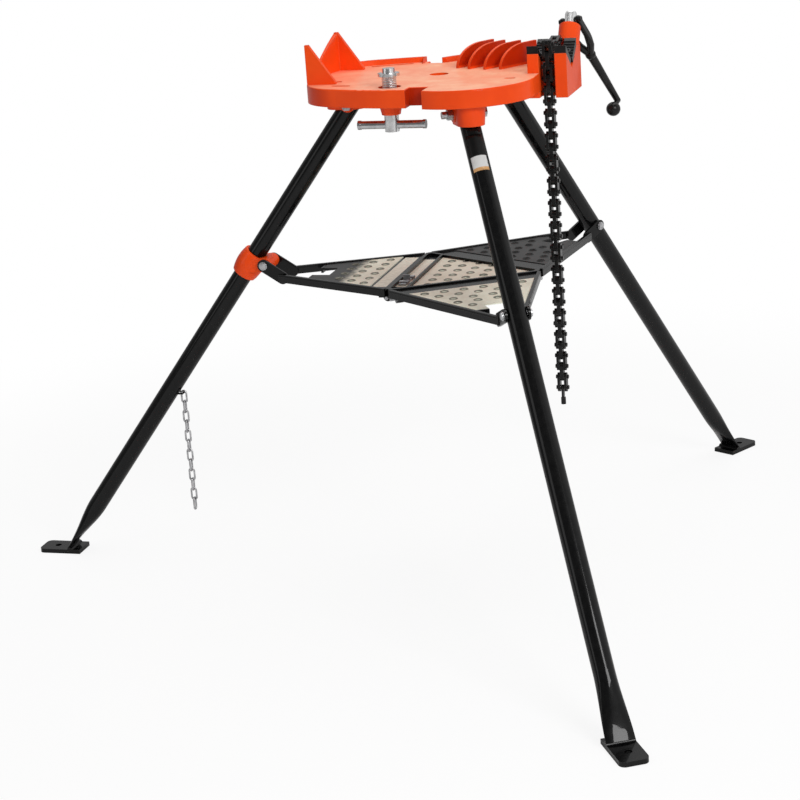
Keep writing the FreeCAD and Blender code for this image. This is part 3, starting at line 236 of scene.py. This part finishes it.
def blackOxide(name="blackOxide", wearAndGlint=0.5, ease=0.0008):
    f = Finish(name)
    soft = f.rounded(ease)
    edge = f.edges(soft, 0.08, 0.5)
    oil = f.noise(60, 5, 0.6)
    pits = f.noise(700, 4, 0.7)
    colour = f.blend(f.ramp(oil, 0.3, 0.75), tone(0.003, 0.003, 0.0033), tone(0.014, 0.0136, 0.0136))
    # rubbed edges: bare worn steel; on the chain, where the wear is turned up, they also give painted glints
    # on the link cores
    rubbedAndGlint = edge * f.ramp(oil, 0.25, 0.7) * wearAndGlint
    colour = f.blend(rubbedAndGlint, colour, tone(0.42, 0.41, 0.4))
    normal = f.bump(pits, 0.25, 0.0003, soft)
    return f.close(Base_Color=colour, Metallic=0.3 + rubbedAndGlint * 0.6, Roughness=0.2 + oil * 0.2,
                   Specular_IOR_Level=0.2, Coat_Weight=0.15, Coat_Roughness=0.08, Normal=normal)


def turnedSteel(name, colour, gloss, rings, ringTurn=(0, 0, 0)):
    f = Finish(name)
    soft = f.rounded(0.0005)
    lines = f.noise(rings, 3, 0.5, f.stretch((0.02, 0.02, 1), ringTurn))
    smear = f.noise(90, 5, 0.6)
    shade = f.blend(f.ramp(smear, 0.35, 0.75), colour, tone(*(c * 0.72 for c in colour[:3])))
    normal = f.bump(lines, 0.18, 0.0002, soft)
    return f.close(Base_Color=shade, Metallic=1.0, Roughness=gloss + smear * 0.12, Normal=normal)


thread = {"x": -0.05, "y": -0.131, "lead": 0.0028, "from": 0.842, "depth": 0.0006}


def threadedSteel(name):
    # turned steel with a helical groove above the head of the screw
    f = Finish(name)
    soft = f.rounded(0.0005)
    x, y, z = f.parts(f.place())
    angle = f.make("ShaderNodeMath", {"operation": "ARCTAN2"}, {0: y - thread["y"], 1: x - thread["x"]})
    turns = z * (1 / thread["lead"]) + angle * (1 / (2 * math.pi))
    groove = f.make("ShaderNodeMath", {"operation": "PINGPONG"}, {0: turns, 1: 0.5})
    cut = f.ramp(groove * 2, 0.15, 0.85) * f.ramp(z, thread["from"], thread["from"] + 0.001)
    smear = f.noise(90, 5, 0.6)
    shade = f.blend(f.ramp(smear, 0.35, 0.75), tone(0.8, 0.8, 0.8), tone(0.55, 0.55, 0.55))
    # the groove is painted darker: a painted shade in the groove
    shade = f.blend(cut * 0.3, shade, tone(0.3, 0.3, 0.3))
    normal = f.bump(1 - cut, 0.9, thread["depth"], soft)
    gloss = 0.15 + smear * 0.12 + cut * 0.12
    return f.close(Base_Color=shade, Metallic=1.0, Roughness=gloss, Normal=normal)


def zincPlate(name="zincPlate"):
    f = Finish(name)
    soft = f.rounded(0.0006)
    flakes = f.make("ShaderNodeTexVoronoi", None, {"Vector": f.place(), "Scale": 260.0}, output="Distance")
    smear = f.noise(120, 5, 0.6)
    shade = f.blend(f.ramp(smear, 0.35, 0.7), tone(0.56, 0.56, 0.57), tone(0.34, 0.34, 0.35))
    normal = f.bump(flakes, 0.12, 0.0003, soft)
    return f.close(Base_Color=shade, Metallic=1.0, Roughness=0.26 + smear * 0.2, Normal=normal)


# along: how far x, y and z each lie up the leg; dark and tan: where the bands meet
stickerBands = {"along": (-0.3, 0.5196, 0.8), "dark": 0.492, "tan": 0.4715, "soft": 0.0008}


def plainSticker(name="plainSticker"):
    f = Finish(name)
    fibre = f.noise(240, 5, 0.6)
    stain = f.ramp(f.noise(30, 5, 0.65), 0.45, 0.75)
    x, y, z = (part * share for part, share in zip(f.parts(f.place()), stickerBands["along"]))
    along = x + y + z
    dark, tan = (f.ramp(along, low, low + stickerBands["soft"])
                 for low in (stickerBands["dark"], stickerBands["tan"]))
    shade = f.blend(stain * 0.3, tone(0.62, 0.62, 0.61), tone(0.42, 0.4, 0.39))
    shade = f.blend(dark, shade, tone(0.004, 0.004, 0.004))
    shade = f.blend(1 - tan, shade, tone(0.6, 0.33, 0.14))
    normal = f.bump(fibre, 0.2, 0.0003)
    return f.close(Base_Color=shade, Roughness=0.32 + fibre * 0.2, Coat_Weight=0.1,
                   Specular_IOR_Level=0.15, Normal=normal)


stripPatch = {"from": 0.539, "tone": tone(0.9, 0.9, 0.74)}
rearPatch = {"x": (-0.112, -0.087), "half": 0.108, **stripPatch}
centrePatch = {"x": (-0.074, -0.05), "half": 0.1, **stripPatch}
creamTones = tone(0.95, 0.96, 0.8), tone(0.84, 0.84, 0.67)
rearShadow = {"from": (-0.17, -0.145), "ragged": 0.03, "tone": tone(0.012, 0.012, 0.012)}
finishes = {
    "enamel": castEnamel(),
    "enamelDark": blackEnamel(),
    "rearFrame": blackEnamel("rearFrameEnamel", patch=rearPatch),
    "centreFrame": blackEnamel("centreFrameEnamel", patch=centrePatch),
    # the drain lips are painted dark: a painted shade for the shadowed rims of the raised holes
    "lipPaintedShade": sheetCoat("lipPaintedShade", tone(0.26, 0.26, 0.21), tone(0.12, 0.12, 0.095), 0.3),
    "cream": sheetCoat("creamSheet", *creamTones, 0.3),
    "creamRear": sheetCoat("creamRearSheet", *creamTones, 0.3, 0.2, rearShadow),
    "slate": sheetCoat("slateSheet", tone(0.016, 0.016, 0.016), tone(0.05, 0.05, 0.05), 0.3, 0.12),
    "oxide": blackOxide(),
    # heavier rubbed edges on the chain: wear, and painted glints on the link cores
    "chainOxide": blackOxide("chainOxide", 0.9, 0.0011),
    "braceSteel": turnedSteel("braceSteel", tone(0.76, 0.76, 0.76), 0.2, 900),
    "threadSteel": threadedSteel("threadSteel"),
    "barSteel": turnedSteel("barSteel", tone(0.55, 0.55, 0.56), 0.14, 900, (0, math.pi / 2, 0)),
    "screwSteel": turnedSteel("screwSteel", tone(0.9, 0.9, 0.9), 0.2, 700, (math.radians(38), 0, 0)),
    "zinc": zincPlate(),
    "sticker": plainSticker(),
}
print("finishes made:", len(finishes))

wornBy = {
    "enamel": ("base_casting", "leg_collar"),
    "enamelDark": ("leg_tube_rear", "leg_tube_front_right", "leg_tube_front_left", "wing_frame_front_right",
                   "wing_frame_front_left", "tie_chain_eye"),
    "rearFrame": ("wing_frame_rear",),
    "centreFrame": ("tray_center_frame",),
    "cream": ("tray_center_panel", "wing_panel_front_right"),
    "creamRear": ("wing_panel_rear",),
    "slate": ("wing_panel_front_left",),
    "oxide": ("vise_jaw_near", "vise_jaw_far", "jaw_screws", "crank_handle", "crank_knob", "clamp_nut",
              "crank_fork_pin"),
    "braceSteel": ("brace_cap",),
    "threadSteel": ("brace_screw",),
    "barSteel": ("brace_tbar",),
    "screwSteel": ("vise_screw",),
    "zinc": ("leg_pivot_bolts", "leg_pivot_nuts", "fork_rivets_rear", "fork_rivets_front_right",
             "fork_rivets_front_left", "leg_pin_front_right", "leg_pin_front_left", "collar_pin",
             "tray_hinge_pins", "tray_latch_bolt", "tray_latch_staples", "tie_chain"),
    "chainOxide": tuple(n for n in nodes if n.startswith("chain_")),
}


def dress(node, finish):
    mesh = nodes[node].data
    mesh.materials.clear()
    mesh.materials.append(finish)


for finishName, wearers in wornBy.items():
    for wearer in wearers:
        dress(wearer, finishes[finishName])
bare = sorted(set(nodes) - {w for ws in wornBy.values() for w in ws})
print("nodes dressed:", len(nodes) - len(bare), "left:", bare)


# ---- geometry helpers

class Graph:
    # a geometry node tree with named inputs
    def __init__(self, name, inputs):
        self.tree = bpy.data.node_groups.new(name, "GeometryNodeTree")
        face = self.tree.interface
        face.new_socket("Geometry", in_out="INPUT", socket_type="NodeSocketGeometry")
        for key, value in inputs.items():
            number = "NodeSocketInt" if isinstance(value, int) else "NodeSocketFloat"
            kind = "NodeSocketMaterial" if key == "Material" else number
            face.new_socket(key, in_out="INPUT", socket_type=kind)
        face.new_socket("Geometry", in_out="OUTPUT", socket_type="NodeSocketGeometry")
        self.entry = self.tree.nodes.new("NodeGroupInput")
        self.exit = self.tree.nodes.new("NodeGroupOutput")
        self.inputs = inputs

    def make(self, kind, settings=None, sockets=None):
        made = self.tree.nodes.new(kind)
        for key, value in (settings or {}).items():
            setattr(made, key, value)
        for key, value in (sockets or {}).items():
            if isinstance(value, bpy.types.NodeSocket):
                self.tree.links.new(value, made.inputs[key])
            else:
                made.inputs[key].default_value = value
        return made.outputs[0]

    def given(self, name):
        return self.entry.outputs[name]

    def finish(self, geometry):
        real = self.make("GeometryNodeRealizeInstances", None, {"Geometry": geometry})
        coated = self.make("GeometryNodeSetMaterial", None,
                           {"Geometry": real, "Material": self.given("Material")})
        self.tree.links.new(coated, self.exit.inputs[0])


def meshObject(name, points, faces=(), edges=()):
    mesh = bpy.data.meshes.new(name)
    mesh.from_pydata([tuple(p) for p in points], list(edges), [tuple(f) for f in faces])
    mesh.update()
    made = bpy.data.objects.new(name, mesh)
    bpy.context.scene.collection.objects.link(made)
    return made


def grown(name, graph, seed, body, smooth=True):
    # runs the tree on a seed object and keeps the plain mesh
    modifier = seed.modifiers.new("grow", "NODES")
    modifier.node_group = graph.tree
    for item in graph.tree.interface.items_tree:
        if item.item_type == "SOCKET" and item.in_out == "INPUT" and item.name in graph.inputs:
            modifier[item.identifier] = graph.inputs[item.name]
    bpy.context.view_layer.update()
    result = seed.evaluated_get(bpy.context.evaluated_depsgraph_get())
    mesh = bpy.data.meshes.new_from_object(result)
    mesh.name = name
    old = seed.data
    seed.modifiers.remove(modifier)
    bpy.data.objects.remove(seed)
    if isinstance(old, bpy.types.Mesh):
        bpy.data.meshes.remove(old)
    piece = bpy.data.objects.new(name, mesh)
    bpy.context.scene.collection.objects.link(piece)
    for polygon in mesh.polygons:
        polygon.use_smooth = smooth
    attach(piece, body)
    return piece


def legFrame(azimuth):
    return Matrix.Rotation(math.radians(azimuth), 4, "Z")


def mm(*values):
    return Vector(v / 1000 for v in values)


# ---- tray: raised lips round the drain holes

tray = {
    "top": 548.0, "panelDrop": 4.0, "panelThickness": 2.0, "centreDrop": 6.9, "holeR": 6.5,
    "lip": 1.1, "pitch": 34.0, "rowPitch": 27.2, "margin": 10.0, "half": 131.564, "gap": 1.0, "strip": 34.0,
    "railWidth": 6.0, "setback": 92.0, "notch": 28.0, "holeEdge": 3.0,
    "middle": {"from": -36.9348, "to": 110.0, "side": 25.0, "taper": 0.55},
}
wings = {
    "rear": {"azimuth": 180, "pinX": 334.0, "line": 80.9348, "face": 25.6, "colour": "lipPaintedShade"},
    "front_right": {"azimuth": -60, "pinX": 373.75, "line": 85.0, "face": 17.3, "colour": "lipPaintedShade"},
    "front_left": {"azimuth": 60, "pinX": 373.75, "line": 85.0, "face": 17.3, "colour": "slate"},
}


def wingHalf(wing, x):
    start = wing["line"] + tray["gap"]
    end = wing["pinX"] - 26.0
    tip = wing["face"] + 2.0
    return tray["half"] - (tray["half"] - tip) / (end - start) * (x - start)


def clearOfLeg(wing):
    # where the sheet isn't cut away for the leg
    room = wing["pinX"] - tray["setback"] - tray["notch"]
    edge = tray["holeR"] + tray["holeEdge"]
    return lambda x, y: x + edge < room or abs(y) > wing["face"] + edge


def holeRows(x0, x1, half, there=lambda x, y: True):
    spots = []
    x = x0 + tray["margin"] + tray["holeR"]
    while x < x1 - tray["margin"]:
        reach = half(x) - tray["margin"] - tray["holeR"]
        count = int(2 * reach // tray["pitch"]) + 1 if reach > 0 else 0
        row = [(x, (i - (count - 1) / 2) * tray["pitch"]) for i in range(count)]
        spots += [spot for spot in row if there(*spot)]
        x += tray["rowPitch"]
    return spots


def lipGraph(material):
    g = Graph("drainLips", {"Radius": tray["holeR"] / 1000, "Lip": tray["lip"] / 1000, "Material": material})
    ring = g.make("GeometryNodeCurvePrimitiveCircle", None, {"Resolution": 28, "Radius": g.given("Radius")})
    bead = g.make("GeometryNodeCurvePrimitiveCircle", None, {"Resolution": 8, "Radius": g.given("Lip")})
    torus = g.make("GeometryNodeCurveToMesh", None, {"Curve": ring, "Profile Curve": bead})
    spots = g.make("GeometryNodeMeshToPoints", None, {"Mesh": g.given("Geometry")})
    put = g.make("GeometryNodeInstanceOnPoints", None, {"Points": spots, "Instance": torus})
    g.finish(put)
    return g


def drainLips():
    made = 0
    for name, wing in wings.items():
        x0 = wing["line"] + tray["gap"] + tray["strip"] + 1.0
        x1 = wing["pinX"] - tray["setback"] - 0.5
        inset = tray["railWidth"] / 2 + 1.6
        spots = holeRows(x0, x1, lambda x: wingHalf(wing, x) - inset, clearOfLeg(wing))
        turn = legFrame(wing["azimuth"])
        z = tray["top"] - tray["panelDrop"] + tray["panelThickness"]
        points = [turn @ mm(x, y, z) for x, y in spots]
        seed = meshObject("lipSeed_" + name, points)
        graph = lipGraph(finishes[wing["colour"]])
        grown("drainLips_" + name, graph, seed, "wing_" + name)
        made += len(points)
    z = tray["top"] - tray["centreDrop"] + tray["panelThickness"]
    middle = tray["middle"]
    spots = holeRows(middle["from"], middle["to"],
                     lambda x: tray["half"] - middle["side"] - middle["taper"] * max(0.0, x))
    seed = meshObject("lipSeed_middle", [mm(x, y, z) for x, y in spots])
    grown("drainLips_middle", lipGraph(finishes["lipPaintedShade"]), seed, "tray_middle")
    print("drain lips:", made + len(spots))


drainLips()


# ---- tray: rolled beads along the rails

railBead = {"radius": 3.3, "drop": 3.2, "sides": 12}


def beadGraph():
    g = Graph("railBeads", {"Radius": railBead["radius"] / 1000, "Material": finishes["enamelDark"]})
    path = g.make("GeometryNodeMeshToCurve", None, {"Mesh": g.given("Geometry")})
    profile = g.make("GeometryNodeCurvePrimitiveCircle", None,
                     {"Resolution": railBead["sides"], "Radius": g.given("Radius")})
    tube = g.make("GeometryNodeCurveToMesh", None,
                  {"Curve": path, "Profile Curve": profile, "Fill Caps": True})
    g.finish(tube)
    return g


def railBeads():
    z = tray["top"] - railBead["drop"]
    for name, wing in wings.items():
        turn = legFrame(wing["azimuth"])
        start = wing["line"] + tray["gap"] + 2.0
        end = wing["pinX"] - 30.0
        points = []
        edges = []
        for side in (-1, 1):
            points += [turn @ mm(x, side * wingHalf(wing, x), z) for x in (start, (start + end) / 2, end)]
            edges += [(len(points) - 3, len(points) - 2), (len(points) - 2, len(points) - 1)]
        seed = meshObject("beadSeed_" + name, points, edges=edges)
        grown("railBeads_" + name, beadGraph(), seed, "wing_" + name)
    print("rail beads: 3 wings")


railBeads()


# ---- sticker on the near leg, left blank

sticker = {
    "azimuth": -60.0, "radius": 16.95, "low": 752.0, "high": 804.0, "from": -62.0, "to": 34.0,
    "rows": 10, "columns": 18, "thickness": 0.2, "foot": 790.0, "slope": 0.75,
}


def blankSticker():
    across = Vector((0, 1, 0))
    out = across.cross(Vector((-sticker["slope"], 0, 1)).normalized())
    turn = legFrame(sticker["azimuth"])
    points = []
    faces = []
    rows = sticker["rows"]
    for row in range(rows + 1):
        z = sticker["low"] + (sticker["high"] - sticker["low"]) * row / rows
        axis = Vector((sticker["foot"] - sticker["slope"] * z, 0, z))
        for column in range(sticker["columns"] + 1):
            share = column / sticker["columns"]
            angle = math.radians(sticker["from"] + (sticker["to"] - sticker["from"]) * share)
            p = axis + (out * math.cos(angle) + across * math.sin(angle)) * sticker["radius"]
            points.append(turn @ (p / 1000))
    width = sticker["columns"] + 1
    for row in range(rows):
        for column in range(sticker["columns"]):
            a = row * width + column
            faces.append((a, a + 1, a + width + 1, a + width))
    piece = meshObject("blankSticker", points, faces)
    shell = piece.modifiers.new("thick", "SOLIDIFY")
    shell.thickness = sticker["thickness"] / 1000
    shell.offset = 1.0
    piece.data.materials.append(finishes["sticker"])
    for polygon in piece.data.polygons:
        polygon.use_smooth = True
    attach(piece, "leg_front_right")
    print("sticker: blank")


blankSticker()


# ---- stage, light and camera

stageSet = {"floorR": 7.0, "sides": 64, "fadeFrom": 0.9, "fadeTo": 2.0, "lift": 0.87, "mirror": 0.4}


def floorFinish():
    f = Finish("paleFloor")
    spot = f.make("ShaderNodeVectorMath", {"operation": "LENGTH"}, {0: f.place()}, output="Value")
    seen = f.make("ShaderNodeLightPath", output="Is Camera Ray")
    glossy = f.make("ShaderNodeLightPath", output="Is Glossy Ray")
    far = f.ramp(spot, stageSet["fadeFrom"], stageSet["fadeTo"])
    speckle = f.noise(8, 4)
    shade = f.blend(speckle * 0.1, tone(0.95, 0.95, 0.95), tone(0.91, 0.91, 0.91))
    matte = f.make("ShaderNodeBsdfDiffuse", None, {"Color": shade})
    white = f.make("ShaderNodeEmission", None, {"Color": tone(1, 1, 1), "Strength": 1.0})
    share = (stageSet["lift"] + far * (1 - stageSet["lift"])) * seen + far * glossy * stageSet["mirror"]
    mixed = f.make("ShaderNodeMixShader", None, {0: share, 1: matte, 2: white})
    f.make("ShaderNodeOutputMaterial", None, {"Surface": mixed})
    return f.material


def paleFloor():
    count = stageSet["sides"]
    turns = [2 * math.pi * i / count for i in range(count)]
    rim = [(stageSet["floorR"] * math.cos(a), stageSet["floorR"] * math.sin(a), 0) for a in turns]
    floor = meshObject("paleFloor", rim, [range(count)])
    floor.data.materials.append(floorFinish())


studio = {"diffuse": 0.34, "front": 0.22, "behind": (-0.1, 0.45), "side": (0.3, 0.95), "sideGain": 0.55,
          "low": 0.3, "rise": (0.3, 0.6)}


def whiteWorld():
    # white to the camera, and a studio to shiny surfaces: bright behind and at the right, dark in front
    world = bpy.data.worlds.new("studio")
    bpy.context.scene.world = world
    world.use_nodes = True
    tree = world.node_tree
    tree.nodes.clear()
    f = Finish.__new__(Finish)
    f.tree = tree
    away = f.make("ShaderNodeTexCoord", output="Generated")
    across, ahead, up = f.parts(away)
    height = studio["low"] + f.ramp(up, *studio["rise"]) * (1 - studio["low"])
    behind = f.ramp(ahead, *studio["behind"]) * height
    side = f.ramp(across, *studio["side"])
    shiny = studio["front"] + behind * (1 - studio["front"]) + side * studio["sideGain"] * (1 - behind)
    seen = f.make("ShaderNodeLightPath", output="Is Camera Ray")
    glossy = f.make("ShaderNodeLightPath", output="Is Glossy Ray")
    strength = f.make("ShaderNodeMath", {"operation": "MAXIMUM"}, {0: seen, 1: glossy * shiny})
    strength = f.make("ShaderNodeMath", {"operation": "MAXIMUM"},
                      {0: strength, 1: (1 - seen) * (1 - glossy) * studio["diffuse"]})
    sky = f.make("ShaderNodeBackground", None, {"Color": (1, 1, 1, 1), "Strength": strength})
    f.make("ShaderNodeOutputWorld", None, {"Surface": sky})


def lamp(name, at, aim, size, power):
    data = bpy.data.lights.new(name, "AREA")
    data.shape = "RECTANGLE"
    data.size, data.size_y = size
    data.energy = power
    made = bpy.data.objects.new(name, data)
    made.location = at
    made.rotation_mode = "QUATERNION"
    made.rotation_quaternion = (Vector(aim) - Vector(at)).to_track_quat("-Z", "Y")
    bpy.context.scene.collection.objects.link(made)


lamps = {
    "key": ((2.6, -2.4, 2.6), (0, 0, 0.7), (1.6, 1.3), 74),
    "fill": ((-2.6, -2.0, 1.6), (0, 0, 0.6), (1.2, 2.0), 9),
    "over": ((0.1, 0.5, 3.2), (0, 0, 0.5), (2.2, 2.2), 33),
}

lens = {
    "yaw": 0.2915, "pitch": 0.2927, "roll": 0.0705, "at": (0.8824, -3.3044, 1.35),
    "focal": 91.02, "sensor": 36.0,
}


def viewCamera():
    a, p, r = lens["yaw"], lens["pitch"], lens["roll"]
    ahead = Vector((-math.sin(a) * math.cos(p), math.cos(a) * math.cos(p), -math.sin(p)))
    right = Vector((math.cos(a), math.sin(a), 0))
    down = ahead.cross(right)
    right, down = math.cos(r) * right + math.sin(r) * down, -math.sin(r) * right + math.cos(r) * down
    data = bpy.data.cameras.new("viewCamera")
    data.lens = lens["focal"]
    data.sensor_width = lens["sensor"]
    made = bpy.data.objects.new("viewCamera", data)
    turn = Matrix((right, -down, -ahead)).transposed().to_4x4()
    made.matrix_world = Matrix.Translation(lens["at"]) @ turn
    bpy.context.scene.collection.objects.link(made)
    bpy.context.scene.camera = made


paleFloor()
whiteWorld()
for lampName, facts in lamps.items():
    lamp(lampName, *facts)
viewCamera()
bpy.context.scene.view_settings.view_transform = "Standard"
print("stage set")
